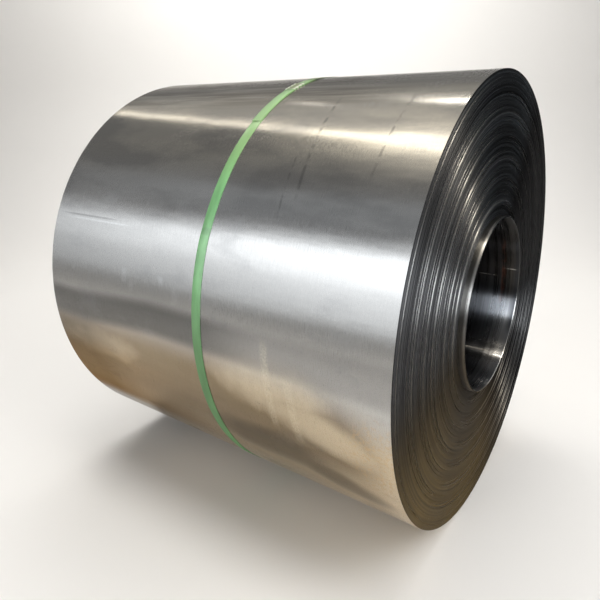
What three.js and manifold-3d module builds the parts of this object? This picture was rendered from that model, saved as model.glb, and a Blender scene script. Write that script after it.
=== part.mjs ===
// Coil of cold-rolled steel strip, lying on its side, with one plastic strap round it and
// the crimped steel seal that joins the strap's ends. Millimetres, +Z up, the coil's axis
// along X, the origin on the floor under the middle of the bounding box.

import * as THREE from 'three';
import { mergeVertices } from 'three/addons/utils/BufferGeometryUtils.js';
import Module from 'manifold-3d';

// Strip and coil
const outerDiameter = 1300;
const boreDiameter = 508;
const stripWidth = 1200;

// Every turn is the same strip, so turns that stand proud at the +X end are sunk by the
// same amount at the other end. Shifts are along +X. The shares of the largest shift run
// from the turns next to the bore lip to the outermost ones.
const lipThickness = 5;
const lipShift = 17;
const largestGroupShift = 4;
const groupShiftShares = [-1, 0.375, -0.375, 0.5, -0.125, 0.625, -0.5, 0.25, -0.25, 0.5, -0.375, 0.25, 0];

// Strap
const strapWidth = 32;
const strapThickness = 1.3;
const strapFromNearEnd = 550;
const strapTailFacets = 3;
const strapUnderFacets = 2;

// Seal: a folded steel clip over both ends of the strap, pinched at each crimp
const sealLength = 50;
const sealWall = 1.2;
const sealCrimps = 3;
const crimpWidth = 5;
const crimpDepth = 3;
const sealFacetsFromTop = 4;

// Facets of everything round, with one facet flat on the floor
const facets = 72;
const seatGap = 0.3;

const outerRadius = outerDiameter / 2;
const boreRadius = boreDiameter / 2;
const facetAngle = (2 * Math.PI) / facets;
const flatShare = Math.cos(facetAngle / 2);
const strapInnerFlat = outerRadius * flatShare + seatGap;
const strapStep = strapThickness + seatGap;
const sealFoot = strapInnerFlat;
const sealRoof = strapInnerFlat + strapStep + strapThickness + seatGap;
const axisHeight = strapInnerFlat + strapThickness;
const groupShifts = groupShiftShares.map((share) => share * largestGroupShift);
const nearReach = stripWidth / 2 + Math.max(lipShift, ...groupShifts);
const farReach = stripWidth / 2 - Math.min(lipShift, ...groupShifts);
const coilMiddle = (farReach - nearReach) / 2;

const coilSteel = new THREE.MeshStandardMaterial({ color: 0x8c8a86, roughness: 0.32, metalness: 1 });
const strapPlastic = new THREE.MeshStandardMaterial({ color: 0x6fb573, roughness: 0.4, metalness: 0 });
const sealSteel = new THREE.MeshStandardMaterial({ color: 0xb9bcae, roughness: 0.35, metalness: 1 });

function named(name, geometry, material) {
  const mesh = new THREE.Mesh(geometry, material);
  mesh.name = name;
  return mesh;
}

// The radii between which each group of turns lies, with its shift, from the bore outwards.
function turnGroups() {
  const lipRadius = boreRadius + lipThickness;
  const depth = (outerRadius - lipRadius) / groupShifts.length;
  const groups = groupShifts.map((shift, i) => ({
    inner: lipRadius + i * depth,
    outer: lipRadius + (i + 1) * depth,
    shift,
  }));
  return [{ inner: boreRadius, outer: lipRadius, shift: lipShift }, ...groups];
}

// One turned solid: out along the stepped +X end, back along the barrel, in along the
// stepped far end, and through the bore to where it started.
function coil() {
  const ends = turnGroups().flatMap(({ inner, outer, shift }) => [
    { radius: inner, shift },
    { radius: outer, shift },
  ]);
  const near = ends.map(({ radius, shift }) => new THREE.Vector2(radius, stripWidth / 2 + shift));
  const far = ends.map(({ radius, shift }) => new THREE.Vector2(radius, shift - stripWidth / 2));
  const profile = [...far, ...near.reverse(), far[0].clone()];
  const geometry = new THREE.LatheGeometry(profile, facets, facetAngle / 2);
  geometry.rotateZ(-Math.PI / 2);
  return named('coil', geometry, coilSteel);
}

// A corner of a faceted ring with its flats this far from the axis. Corner 0 is half a
// facet past the top, and the numbers rise towards -Y and down.
function ringCorner(corner, flat) {
  const angle = (corner + 0.5) * facetAngle;
  const radius = flat / flatShare;
  return new THREE.Vector2(-radius * Math.sin(angle), radius * Math.cos(angle));
}

// The strap starts under the seal, goes once round, climbs over its own start in the last
// facet, runs on under the seal and ends in a loose tail.
function strap() {
  const start = sealFacetsFromTop - strapUnderFacets;
  const overlap = strapUnderFacets + strapTailFacets;
  const corners = Array.from({ length: facets + overlap + 1 }, (_, i) => ({
    corner: start + i,
    flat: strapInnerFlat + (i < facets ? 0 : strapStep),
  }));
  const inside = corners.map(({ corner, flat }) => ringCorner(corner, flat));
  const outside = corners.map(({ corner, flat }) => ringCorner(corner, flat + strapThickness));
  const outline = new THREE.Shape([...inside, ...outside.reverse()]);
  const geometry = new THREE.ExtrudeGeometry(outline, { depth: strapWidth, bevelEnabled: false });
  geometry.translate(0, 0, stripWidth / 2 - strapFromNearEnd - strapWidth / 2);
  geometry.applyMatrix4(new THREE.Matrix4().makeBasis(
    new THREE.Vector3(0, 1, 0),
    new THREE.Vector3(0, 0, 1),
    new THREE.Vector3(1, 0, 0),
  ));
  return named('strap', geometry, strapPlastic);
}

function toSolid(wasm, geometry) {
  const plain = geometry.clone();
  plain.deleteAttribute('normal');
  plain.deleteAttribute('uv');
  const merged = mergeVertices(plain);
  return new wasm.Manifold(new wasm.Mesh({
    numProp: 3,
    vertProperties: new Float32Array(merged.attributes.position.array),
    triVerts: new Uint32Array(merged.index.array),
  }));
}

function toGeometry(solid) {
  const mesh = solid.getMesh();
  const geometry = new THREE.BufferGeometry();
  geometry.setAttribute('position', new THREE.BufferAttribute(mesh.vertProperties, 3));
  geometry.setIndex(new THREE.BufferAttribute(mesh.triVerts, 1));
  return geometry;
}

// The seal's channel, open towards the coil, along local Z with local Y pointing outwards.
function sealChannel() {
  const inside = strapWidth / 2 + seatGap;
  const outside = inside + sealWall;
  const outline = new THREE.Shape([
    new THREE.Vector2(outside, sealFoot),
    new THREE.Vector2(outside, sealRoof + sealWall),
    new THREE.Vector2(-outside, sealRoof + sealWall),
    new THREE.Vector2(-outside, sealFoot),
    new THREE.Vector2(-inside, sealFoot),
    new THREE.Vector2(-inside, sealRoof),
    new THREE.Vector2(inside, sealRoof),
    new THREE.Vector2(inside, sealFoot),
  ]);
  const geometry = new THREE.ExtrudeGeometry(outline, { depth: sealLength, bevelEnabled: false });
  return geometry.translate(0, 0, -sealLength / 2);
}

// A wedge as high as the seal that nicks one of its long edges; side is 1 or -1.
function crimpWedge(side, place) {
  const edge = strapWidth / 2 + seatGap + sealWall;
  const nick = new THREE.Shape([
    new THREE.Vector2(side * (edge + crimpDepth), place - crimpWidth),
    new THREE.Vector2(side * (edge + crimpDepth), place + crimpWidth),
    new THREE.Vector2(side * (edge - crimpDepth), place),
  ]);
  const height = sealRoof + sealWall - sealFoot + 2 * sealWall;
  const geometry = new THREE.ExtrudeGeometry(nick, { depth: height, bevelEnabled: false });
  geometry.rotateX(Math.PI / 2);
  return geometry.translate(0, sealFoot - sealWall + height, 0);
}

async function strapSeal() {
  const wasm = await Module();
  wasm.setup();
  let solid = toSolid(wasm, sealChannel());
  for (let crimp = 0; crimp < sealCrimps; crimp += 1) {
    const place = ((crimp + 0.5) / sealCrimps - 0.5) * sealLength;
    for (const side of [-1, 1]) {
      solid = solid.subtract(toSolid(wasm, crimpWedge(side, place)));
    }
  }
  const angle = sealFacetsFromTop * facetAngle;
  const geometry = toGeometry(solid);
  geometry.translate(stripWidth / 2 - strapFromNearEnd, 0, 0);
  geometry.applyMatrix4(new THREE.Matrix4().makeBasis(
    new THREE.Vector3(1, 0, 0),
    new THREE.Vector3(0, -Math.sin(angle), Math.cos(angle)),
    new THREE.Vector3(0, -Math.cos(angle), -Math.sin(angle)),
  ));
  return named('strap_seal', geometry, sealSteel);
}

const part = new THREE.Group();
part.add(coil(), strap(), await strapSeal());
part.position.set(coilMiddle, 0, axisHeight);

export default part;
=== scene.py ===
"""Coil of cold-rolled steel strip with one plastic strap and its crimped seal: surfaces,
finishes and stage."""

from functools import partial, reduce

import bpy
import numpy as np
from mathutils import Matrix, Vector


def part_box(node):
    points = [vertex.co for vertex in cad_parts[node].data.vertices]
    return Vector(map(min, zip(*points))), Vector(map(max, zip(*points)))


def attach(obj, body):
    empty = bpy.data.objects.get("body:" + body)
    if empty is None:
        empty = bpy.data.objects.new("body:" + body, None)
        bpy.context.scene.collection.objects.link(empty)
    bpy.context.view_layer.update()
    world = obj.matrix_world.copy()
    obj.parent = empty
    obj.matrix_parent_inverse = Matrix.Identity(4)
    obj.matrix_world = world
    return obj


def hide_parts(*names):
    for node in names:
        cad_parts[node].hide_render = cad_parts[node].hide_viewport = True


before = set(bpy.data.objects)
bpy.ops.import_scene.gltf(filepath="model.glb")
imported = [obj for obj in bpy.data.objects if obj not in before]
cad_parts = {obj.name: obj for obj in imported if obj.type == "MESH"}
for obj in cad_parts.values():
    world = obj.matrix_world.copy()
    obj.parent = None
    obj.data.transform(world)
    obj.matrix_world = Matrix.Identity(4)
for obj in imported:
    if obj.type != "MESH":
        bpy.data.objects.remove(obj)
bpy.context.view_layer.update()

bl_info = {
    "name": "Steel Strip Coil",
    "version": (1, 0, 0),
    "blender": (4, 5, 0),
    "location": "View3D > Sidebar > Steel Coil",
    "description": "A strapped coil of cold-rolled steel strip, lying on its side, with its stage",
    "category": "Add Mesh",
}

BODY = "root"
COIL_LOW, COIL_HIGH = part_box("coil")
STRAP_LOW, STRAP_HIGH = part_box("strap")
SEAL_LOW, SEAL_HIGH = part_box("strap_seal")

# The coil's axis lies along X at this height over the floor.
AXIS_HEIGHT = (COIL_LOW.z + COIL_HIGH.z) / 2
STRAP_MIDDLE = (STRAP_LOW.x + STRAP_HIGH.x) / 2
SEAL_MIDDLE = (SEAL_LOW.x + SEAL_HIGH.x) / 2
FULL_TURN = 2 * np.pi

GROUP_COUNT = 13
BARREL, CUT_EDGES, BORE, TURN_FACES = range(4)  # the coil's materials


# ------------------------------------------------------------------ sizes and colours


def metres(name, description, default, **limits):
    """A length that can be changed."""
    return bpy.props.FloatProperty(
        name=name, description=description, default=default, unit="LENGTH", **limits)


def bearing(name, description, degrees):
    """An angle round the axis that can be changed, with its default in degrees."""
    return bpy.props.FloatProperty(
        name=name, description=description, default=np.radians(degrees), subtype="ANGLE")


def count(name, description, default, **limits):
    """A whole number that can be changed."""
    return bpy.props.IntProperty(name=name, description=description, default=default, **limits)


def tint(name, description, default):
    """A colour that can be changed."""
    return bpy.props.FloatVectorProperty(
        name=name, description=description, default=default, subtype="COLOR", size=3,
        min=0.0, max=1.0)


def watts(name, description, default):
    """A lamp's power that can be changed."""
    return bpy.props.FloatProperty(
        name=name, description=description, default=default, min=0.0, unit="POWER")


class SteelCoilSizes(bpy.types.PropertyGroup):
    outer_radius: metres("Outer Radius", "Radius of the outermost turn", 0.6496, min=0.1)
    bore_radius: metres("Bore Radius", "Radius of the bore", 0.254, min=0.05)
    strip_width: metres(
        "Strip Width", "Width of the rolled strip, the same in every turn", 1.2, min=0.1)
    near_face: metres(
        "Near Face", "Place along X of the outermost turns' near edge", 0.5935)
    lip_thickness: metres(
        "Lip Thickness", "Radial thickness of the innermost turns that stand proud",
        0.005, min=0.001)
    lip_shift: metres(
        "Lip Shift", "How far the innermost turns stand proud at the near end", 0.017)
    group_shifts: bpy.props.FloatVectorProperty(
        name="Group Shifts", size=GROUP_COUNT, unit="LENGTH",
        description="Shift along X of each group of turns, from the lip outwards",
        default=(-0.004, 0.0015, -0.0015, 0.002, -0.0005, 0.0025, -0.002,
                 0.001, -0.001, 0.002, -0.0015, 0.001, 0.0))
    ridges_per_group: count("Ridges per Group", "Bands of turns in each group", 3, min=1, max=5)
    ridge_shift: metres(
        "Ridge Shift", "Most that one band of turns is shifted inside its group", 0.0022, min=0.0)
    edge_round: metres(
        "Edge Round", "Chamfer on the edges of each band of turns", 0.0004, min=0.0)
    lip_round: metres(
        "Lip Round", "Chamfer on the bore's edge at the proud lip", 0.0014, min=0.0)
    tail_step: metres("Tail Step", "Step where the strip ends outside", 0.0014, min=0.0)
    start_step: metres(
        "Start Step", "How far the bore widens just before the strip's start", 0.0003, min=0.0)
    inner_tail_angle: bearing(
        "Inner Tail Angle", "Angle round the axis of the strip's start in the bore", 305.0)
    outer_tail_angle: bearing(
        "Outer Tail Angle", "Angle round the axis of the strip's end outside", 292.0)
    recess_depth: metres(
        "Recess Depth", "Length at the near end over which the bore is a little wider",
        0.045, min=0.0)
    recess_step: metres("Recess Step", "How much wider the bore is there", 0.0009, min=0.0)
    segments: count("Segments", "Steps round the axis", 250, min=32, max=260)
    seed: count("Seed", "Choice of the turns' pattern", 11)


class StrapSizes(bpy.types.PropertyGroup):
    width: metres("Width", "Width of the strap", 0.0305, min=0.005)
    thickness: metres("Thickness", "Thickness of the strap", 0.0012, min=0.0003)
    gap: metres(
        "Gap", "Gap between the coil and the strap, and between its two ends", 0.0001, min=0.0)
    start_angle: bearing(
        "Start Angle", "Angle round the axis of the end under the seal", 102.5)
    climb_angle: bearing(
        "Climb Angle", "Angle round the axis where the strap climbs over its start", 97.5)
    tail_angle: bearing("Tail Angle", "Angle round the axis of the loose end", 127.5)
    skew: metres(
        "Skew", "How far the strap's upper end lies to one side of its lower one", 0.008)
    cross: metres(
        "Cross", "How far the loose end lies to one side of the strap under it", 0.0018)
    kink_angle: bearing("Kink Angle", "Angle round the axis of a small kink", 157.5)
    kink: metres("Kink", "How far the kink shifts the strap", 0.0016)
    colour: tint("Colour", "Colour of the strap", (0.187, 0.495, 0.180))


class SealSizes(bpy.types.PropertyGroup):
    length: metres("Length", "Length of the seal along the strap", 0.05, min=0.01)
    wall: metres("Wall", "Thickness of the seal's sheet", 0.0011, min=0.0003)
    crimps: count("Crimps", "Pairs of crimps along the seal", 3, min=1, max=5)
    crimp_depth: metres(
        "Crimp Depth", "How far each crimp pinches the edges in", 0.003, min=0.0)
    crimp_width: metres("Crimp Width", "Half length of each crimp", 0.005, min=0.001)
    angle: bearing("Angle", "Angle round the axis of the seal's middle", 110.0)
    colour: tint("Colour", "Colour of the seal", (0.86, 0.90, 0.74))


class CoilFinish(bpy.types.PropertyGroup):
    steel: tint("Steel", "Colour of the strip's rolled face", (0.56, 0.548, 0.53))
    # painted reflection of the floor on the lower barrel: its tan
    floor_reflection_tan: tint(
        "Oil Film", "Colour of the strip under its thin oil film", (0.215, 0.156, 0.086))
    steel_dry: tint(
        "Dry Film", "Colour of the strip high up, under the dry film left by the oil",
        (0.56, 0.53, 0.465))
    # painted reflection of the floor's shadow next to the coil
    floor_reflection_shadow: tint(
        "Thick Oil Film", "Colour of the strip where the oil film is thickest",
        (0.10, 0.070, 0.036))
    # painted reflection of the lit floor
    floor_reflection_lit: tint(
        "Thin Oil Film", "Colour of the strip where the oil film is thin", (0.66, 0.555, 0.405))
    # painted reflection of the lit floor under the bottom
    floor_reflection_below: tint(
        "Drained Oil", "Colour of the strip low down, where the oil has drained off",
        (0.90, 0.76, 0.56))
    cut_edge: tint("Cut Edge", "Colour of the strip's cut edges", (0.165, 0.165, 0.168))
    bore: tint("Bore", "Colour of the strip's face in the bore", (0.30, 0.305, 0.32))


class StageSizes(bpy.types.PropertyGroup):
    floor_colour: tint("Floor", "Colour of the floor and backdrop", (0.80, 0.785, 0.765))
    surround: bpy.props.FloatProperty(
        name="Surround", description="Strength of the even light from all round",
        default=0.24, min=0.0)
    fill: watts("Fill", "Power of the soft light on the near end", 96.0)
    top: watts("Top", "Power of the softbox over the coil's side", 17.0)
    back: watts("Back", "Power of the softbox over the floor behind", 38.0)
    low: watts("Low", "Power of the low softbox at the side", 5.0)
    window: watts("Window", "Power of the tall softbox at the side", 440.0)
    side: watts(
        "Side", "Power of the softbox that shines in at the near end of the bore", 268.0)
    roof: watts("Roof", "Power of the wide softbox overhead", 70.0)
    strip: watts("Strip", "Power of each of the two long narrow softboxes overhead", 25.0)
    slit: watts("Slit", "Power of the narrow softbox over the near end", 75.0)
    glow: watts("Glow", "Power of the soft-edged softbox overhead", 105.0)
    sky: watts("Sky", "Power of the faint bluish softbox above the side", 9.0)
    backdrop: watts("Backdrop", "Power of the light on the backdrop", 90.0)


# ------------------------------------------------------------------ surfaces


SHARP_ANGLE = 0.6  # edges that turn more than this many radians stay sharp


def smooth(low, high, value):
    """Rises from 0 at low to 1 at high, as 3t squared minus 2t cubed."""
    t = np.clip((value - low) / (high - low), 0.0, 1.0)
    return t * t * (3.0 - 2.0 * t)


def grid_object(name, points, materials, slots=None):
    """A mesh of quads through a grid of points (row, column, xyz). The columns close on
    themselves. With slots, which give each row of faces its material, the rows close too;
    without, their two end loops get a cap. The UV map runs 0 to 1 along the rows (U) and
    along the columns (V)."""
    rows, columns = points.shape[:2]
    spans = rows - 1 if slots is None else rows
    i, j = np.meshgrid(np.arange(spans), np.arange(columns), indexing="ij")
    i2, j2 = (i + 1) % rows, (j + 1) % columns
    quads = np.stack((i * columns + j, i2 * columns + j, i2 * columns + j2, i * columns + j2), -1)
    corners = quads.ravel()
    starts = np.arange(spans * columns) * 4
    if slots is None:
        first = np.arange(columns)
        starts = np.concatenate((starts, [len(corners), len(corners) + columns]))
        corners = np.concatenate((corners, first, (rows - 1) * columns + first[::-1]))

    mesh = bpy.data.meshes.new(name)
    mesh.vertices.add(rows * columns)
    mesh.vertices.foreach_set("co", points.astype(np.float32).ravel())
    mesh.loops.add(len(corners))
    mesh.loops.foreach_set("vertex_index", corners.astype(np.int32))
    mesh.polygons.add(len(starts))
    mesh.polygons.foreach_set("loop_start", starts.astype(np.int32))
    mesh.update(calc_edges=True)

    u = np.stack((i, i + 1, i + 1, i), -1).ravel() / spans
    v = np.stack((j, j, j + 1, j + 1), -1).ravel() / columns
    uv = np.zeros((len(corners), 2), np.float32)
    uv[: len(u), 0], uv[: len(v), 1] = u, v
    mesh.uv_layers.new(name="Surface").data.foreach_set("uv", uv.ravel())
    for surface in materials:
        mesh.materials.append(surface)
    if slots is not None:
        mesh.polygons.foreach_set("material_index", np.repeat(slots, columns).astype(np.int32))
    mesh.polygons.foreach_set("use_smooth", np.ones(len(starts), bool))
    mesh.set_sharp_from_angle(angle=SHARP_ANGLE)
    mesh.validate()
    mesh.update()
    return add_object(name, mesh)


def add_object(name, data):
    """A new object in the scene."""
    made = bpy.data.objects.new(name, data)
    bpy.context.scene.collection.objects.link(made)
    return made


def turn_bands(sizes, rng):
    """Radii and base shifts of the bands of turns: the proud lip next to the bore, and then
    each group split into bands of uneven depth, each shifted a little from its group."""
    bands = sizes.ridges_per_group
    lip = sizes.bore_radius + sizes.lip_thickness
    depth = (sizes.outer_radius - lip) / GROUP_COUNT
    groups = np.arange(GROUP_COUNT)[:, None]
    splits = np.cumsum(rng.uniform(0.5, 1.5, (GROUP_COUNT, bands)), axis=1)
    splits = splits / splits[:, -1:] * depth + lip + depth * groups
    extra = rng.uniform(0.0, 1.0, (GROUP_COUNT, bands)) ** 1.6 * sizes.ridge_shift
    extra *= np.where((np.arange(bands) + groups) % 2, -1, 1)
    extra[-1, -1] = 0.0
    shifts = np.array(sizes.group_shifts)[:, None] + extra
    edges = np.concatenate(([sizes.bore_radius, lip], splits.ravel()))
    return edges, np.concatenate(([sizes.lip_shift], shifts.ravel()))


STEP_TURN = 0.0006  # radians between the two sides of a step in the strip
BARREL_ROWS, BORE_ROWS = 12, 8
RECESS_RAMP = 0.0003  # length over which the bore widens to its recess


def coil_points(sizes):
    """A closed profile (row) carried round the axis (column). The near end runs outwards over the
    bands, the barrel runs back, the far end runs inwards, and the bore runs forward again. At
    either end a band lies at half the strip's width plus its shift, and the shift drifts round
    the axis as a slow sine, so a band that stands proud at one end is sunk at the other."""
    rng = np.random.default_rng(sizes.seed)
    edges, shifts = turn_bands(sizes, rng)
    bands = len(shifts)
    tails = np.array([sizes.inner_tail_angle, sizes.outer_tail_angle])
    angle = np.arange(sizes.segments) * FULL_TURN / sizes.segments
    angle = np.union1d(angle, np.concatenate((tails, tails + STEP_TURN)))

    drift = rng.uniform(0.02, 0.12, (bands, 1)) * sizes.ridge_shift
    drift[-1] = 0.0
    turns = rng.integers(1, 3, (bands, 1))
    phase = rng.uniform(0, FULL_TURN, (bands, 1))
    shift = shifts[:, None] + drift * np.sin(turns * angle + phase)
    shift = np.repeat(np.clip(shift, min(sizes.group_shifts), sizes.lip_shift), 4, 0)

    # Each band's profile: a chamfer, its cut edges, a chamfer.
    chamfer = sizes.edge_round
    inner, outer = edges[:-1], edges[1:]
    radius = np.stack((inner, inner + chamfer, outer - chamfer, outer), 1).ravel()
    drop = np.tile([chamfer, 0.0, 0.0, chamfer], bands)
    radius[1], drop[0] = inner[0] + sizes.lip_round, sizes.lip_round
    near_x = sizes.near_face + shift - drop[:, None]
    far_x = sizes.near_face - sizes.strip_width + shift + drop[:, None]

    # The outer turn sinks by the tail step just before the strip's end, and the bore widens by
    # the start step just before the strip's start.
    before_end = (sizes.outer_tail_angle - angle) % FULL_TURN
    before_start = (sizes.inner_tail_angle - angle) % FULL_TURN
    near_r = np.repeat(radius[:, None], len(angle), 1)
    near_r[-2:] -= sizes.tail_step * (1 - smooth(0.0, 1.0, before_end)) * (before_end > 0)
    near_r[:2] += sizes.start_step * (1 - smooth(0.0, 0.7, before_start)) * (before_start > 0)
    far_r = near_r.copy()

    back = np.linspace(0.0, 1.0, BARREL_ROWS + 2)[1:-1, None]
    barrel_x = near_x[-1] * (1 - back) + far_x[-1] * back
    barrel_r = np.repeat(near_r[-1:], BARREL_ROWS, 0)

    # Near its end the bore is wider by the recess.
    recess = sizes.near_face + sizes.lip_shift - sizes.recess_depth
    bore_x = np.linspace(far_x[0].mean(), recess, BORE_ROWS + 1)[1:]
    bore_x = np.concatenate((bore_x, [recess + RECESS_RAMP]))
    bore_x = np.repeat(bore_x[:, None], len(angle), 1)
    bore_r = np.repeat(near_r[:1], len(bore_x), 0)
    bore_r[-1] += sizes.recess_step
    near_r[0] += sizes.recess_step

    x = np.concatenate((near_x, barrel_x, far_x[::-1], bore_x))
    r = np.concatenate((near_r, barrel_r, far_r[::-1], bore_r))
    points = np.stack((x, r * np.cos(angle), AXIS_HEIGHT + r * np.sin(angle)), -1)
    end = np.tile([CUT_EDGES, CUT_EDGES, CUT_EDGES, TURN_FACES], bands)[:-1]
    barrel, bore = np.full(BARREL_ROWS + 1, BARREL), np.full(len(bore_x) + 1, BORE)
    slots = np.concatenate((end, barrel, end, bore))
    slots[0] = TURN_FACES
    return points, slots


def rounded_section(width, thickness, corner, steps=3):
    """A closed flat section, centred across and standing on zero, with rounded corners."""
    turn = np.linspace(0, np.pi / 2, steps)
    across, up = width / 2 - corner, thickness - corner
    sine, cosine = corner * np.sin(turn), corner * np.cos(turn)
    a = np.concatenate((across + cosine, -across - sine, -across - cosine, across + sine))
    b = np.concatenate((up + sine, up + cosine, corner - sine, corner - cosine))
    return a, b


def strap_lean(sizes, around):
    """How far the strap lies to one side at an angle round the axis: nothing low down on the side
    where it is pulled tight, growing as a 1.5 power towards the top."""
    upper = np.clip((np.radians(160.0) - around) / np.radians(60.0), 0.0, 1.2)
    return sizes.skew * np.where(around < np.radians(60.0), 0.0, upper) ** 1.5


STRAP_STEPS, OVERLAP_STEPS = 300, 60
CLIMB_TURN = 0.087  # radians over which the strap climbs over its start
TAIL_TURN, TAIL_LIFT = 0.07, 0.0004
KINK_TURN = 0.012
FLOOR_CLEARANCE = 0.00005


def strap_points(sizes, outer_radius):
    """The strap's section carried once round the coil from its start under the seal, over that
    start and on to its loose end. Its middle wanders across as a slow curve, and where it would
    pass the floor it is pressed flat."""
    climb = sizes.climb_angle + FULL_TURN
    end = sizes.tail_angle + FULL_TURN
    angle = np.concatenate((np.linspace(sizes.start_angle, climb, STRAP_STEPS),
                            np.linspace(climb, end, OVERLAP_STEPS)[1:]))
    a, b = rounded_section(sizes.width, sizes.thickness, sizes.thickness * 0.35)
    lift = smooth(climb, climb + CLIMB_TURN, angle) * (sizes.thickness + sizes.gap)
    lift += TAIL_LIFT * smooth(end - TAIL_TURN, end, angle)
    around = angle % FULL_TURN
    kink = sizes.kink * (np.tanh((around - sizes.kink_angle) / KINK_TURN) - 1) / -2
    kink = np.where((around > np.radians(95.0)) & (around < np.radians(250.0)), kink, 0.0)
    cross = sizes.cross * smooth(climb, end, angle) * (angle > climb)
    middle = STRAP_MIDDLE + strap_lean(sizes, around) + kink - cross
    radius = outer_radius + sizes.gap + lift[:, None] + b
    x = middle[:, None] + a
    y = radius * np.cos(angle)[:, None]
    z = np.maximum(AXIS_HEIGHT + radius * np.sin(angle)[:, None], FLOOR_CLEARANCE)
    return np.stack((x, y, z), -1)


SEAL_STEPS = 91
SEAL_SIDE_GAP, SEAL_ROOF_GAP = 0.0004, 0.0002
ROOF_DENT, EDGE_DENT = 0.0003, 0.0005


def seal_points(sizes, strap, outer_radius):
    """A channel's section, open towards the coil, carried along the strap. Each crimp pulls both
    side walls in, as a sharp dip along the seal, and dents the roof above it a little."""
    along = np.linspace(-0.5, 0.5, SEAL_STEPS)
    places = (np.arange(sizes.crimps) + 0.5) / sizes.crimps - 0.5
    near = np.abs(along[:, None] - places) * sizes.length / sizes.crimp_width
    pinch = np.clip(1 - near, 0.0, 1.0).max(1)[:, None]
    half = strap.width / 2 + SEAL_SIDE_GAP
    foot = outer_radius + strap.gap
    roof = foot + 2 * strap.thickness + 3 * strap.gap + SEAL_ROOF_GAP
    wall_rise = np.array([0.0, 0.35, 0.7, 1.0])
    over = np.concatenate((np.ones(4), np.linspace(1, -1, 7)[1:-1], -np.ones(4)))
    rise = np.concatenate((wall_rise, np.ones(5), wall_rise[::-1]))
    a = np.concatenate((over * (half + sizes.wall), over[::-1] * half))[None, :]
    b = foot + np.concatenate((rise * (roof + sizes.wall - foot), rise * (roof - foot)))[None, :]
    edge = smooth(0.45, 1.0, np.abs(a) / half)
    a = a - np.sign(a) * edge * pinch * sizes.crimp_depth
    b = b - (b > roof) * pinch * (ROOF_DENT + EDGE_DENT * edge)
    place = (along * sizes.length)[:, None]
    cosine, sine = np.cos(sizes.angle), np.sin(sizes.angle)
    x = SEAL_MIDDLE + strap_lean(strap, np.array(sizes.angle)) + a
    y = cosine * b - sine * place
    z = AXIS_HEIGHT + sine * b + cosine * place
    return np.stack(np.broadcast_arrays(x, y, z), -1)


# ------------------------------------------------------------------ shader helpers


class Value:
    """A node's output. Sums, differences, products and quotients of two of them, or of one and
    a number, add Math nodes, so that masks are written as formulas."""

    def __init__(self, socket):
        self.socket, self.tree = socket, socket.id_data

    def __add__(self, other):
        return maths("ADD", self, other)

    def __sub__(self, other):
        return maths("SUBTRACT", self, other)

    def __rsub__(self, other):
        return maths("SUBTRACT", other, self)

    def __mul__(self, other):
        return maths("MULTIPLY", self, other)

    def __truediv__(self, other):
        return maths("DIVIDE", self, other)


def feed(sockets, values):
    """Links each input, by its name or number, to a node's output, or sets it to a number or
    colour."""
    for key, value in values.items():
        if isinstance(value, Value):
            value.tree.links.new(value.socket, sockets[key])
        else:
            is_colour = sockets[key].type == "RGBA"
            sockets[key].default_value = (*value[:3], 1.0) if is_colour else value


def spaced(values):
    """The same values with spaces in their names, as sockets have."""
    return {label.replace("_", " "): value for label, value in values.items()}


def node(tree, kind, inputs=None, output=0, **settings):
    """Adds a node, sets its properties and inputs, and returns one of its outputs."""
    made = tree.nodes.new(kind)
    for key, value in settings.items():
        setattr(made, key, value)
    feed(made.inputs, inputs or {})
    return Value(made.outputs[output])


def maths(operation, *values, clamp=False):
    """One Math node; at least one of its values is a node's output."""
    tree = next(value.tree for value in values if isinstance(value, Value))
    return node(tree, "ShaderNodeMath", dict(enumerate(values)),
                operation=operation, use_clamp=clamp)


def most(*values):
    """The largest of several values."""
    return reduce(partial(maths, "MAXIMUM"), values)


def spread(value, low, high, to_low=0.0, to_high=1.0, steps="LINEAR"):
    """Maps value from low..high to to_low..to_high, clamped."""
    return node(value.tree, "ShaderNodeMapRange", {
        "Value": value, "From Min": low, "From Max": high, "To Min": to_low, "To Max": to_high,
    }, interpolation_type=steps, clamp=True)


def eased(value, low, high):
    """Rises from 0 at low to 1 at high, slowly at both."""
    return spread(value, low, high, steps="SMOOTHSTEP")


def facing(angle, middle, full, none):
    """1 within full degrees of the middle angle round the axis, 0 beyond none degrees of it."""
    off = maths("COSINE", angle - np.radians(middle))
    return eased(off, np.cos(np.radians(none)), np.cos(np.radians(full)))


def blend(factor, first, second):
    """Mixes two colours: the first where factor is 0, the second where it is 1."""
    return node(factor.tree, "ShaderNodeMix", {0: factor, 6: first, 7: second},
                output=2, data_type="RGBA")


def layered(colour, *layers):
    """A colour with stains laid over it in turn; each layer is a mask and a stain's colour."""
    for mask, stain in layers:
        colour = blend(mask, colour, stain)
    return colour


def parts(vector):
    """The x, y and z of a vector."""
    return [Value(socket) for socket in
            node(vector.tree, "ShaderNodeSeparateXYZ", {0: vector}).socket.node.outputs]


def object_place(tree):
    """Object coordinates, in metres."""
    return node(tree, "ShaderNodeTexCoord", output="Object")


def surface_place(tree):
    """U along the rows and V along the columns of a piece's grid, each from 0 to 1."""
    return parts(node(tree, "ShaderNodeUVMap", uv_map="Surface"))[:2]


def squeezed(along, around):
    """Object coordinates, scaled by one factor along the axis and by another across it."""
    scale = node(around.tree, "ShaderNodeCombineXYZ", {0: along, 1: around, 2: around})
    return node(around.tree, "ShaderNodeVectorMath", {0: object_place(around.tree), 1: scale},
                operation="MULTIPLY")


def noise(point, detail, **inputs):
    """Smooth noise, about 0.5 on average; four-dimensional where W is given."""
    return node(point.tree, "ShaderNodeTexNoise",
                {"Vector": point, "Scale": 1.0, "Detail": detail, **inputs},
                output="Fac", noise_dimensions="4D" if "W" in inputs else "3D")


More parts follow.
